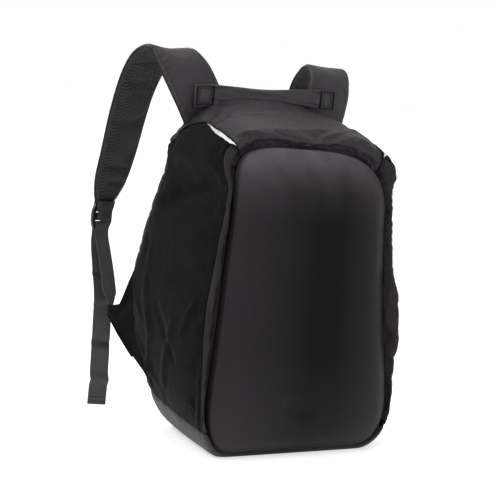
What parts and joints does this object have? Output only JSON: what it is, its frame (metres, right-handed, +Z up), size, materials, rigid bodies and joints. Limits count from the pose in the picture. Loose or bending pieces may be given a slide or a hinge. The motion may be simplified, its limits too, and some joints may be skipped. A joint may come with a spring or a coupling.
{
  "type": "backpack",
  "caption": "Upright anti-theft backpack with a moulded front panel in a deep border, cloth sides, padded shoulder straps, grab handle and a flat base that it stands on.",
  "frame": {"origin": "on the flat underside of the base, halfway between the sides and under the middle of the bag's depth", "axes": "+Z up, -Y towards the front panel, +Y towards the wearer's back, +X to the side seen on the right from the front"},
  "size_m": [0.3665, 0.2771, 0.4939],
  "materials": {
    "nylon": "matt woven nylon",
    "felt": "matt felted cloth",
    "satin": "smooth moulded satin sheet",
    "mesh": "air mesh over foam",
    "webbing": "ribbed webbing",
    "reflector": "silver reflective tape",
    "plastic": "smooth moulded plastic"
  },
  "bodies": {
    "root": {"front_panel": "satin", "back_panel": "mesh", "top_panel": "nylon", "base_panel": "nylon", "grab_handle": "nylon", "border_left": "nylon", "side_panel_left": "felt", "rear_band_left": "nylon", "reflective_strip_left": "reflector", "strap_left": "nylon", "strap_loop_left": "webbing", "buckle_left": "plastic", "wing_left": "felt", "webbing_left": "webbing", "border_right": "nylon", "side_panel_right": "felt", "rear_band_right": "nylon", "reflective_strip_right": "reflector", "strap_right": "nylon", "strap_loop_right": "webbing", "buckle_right": "plastic", "wing_right": "felt", "webbing_right": "webbing"}
  },
  "joints": []
}
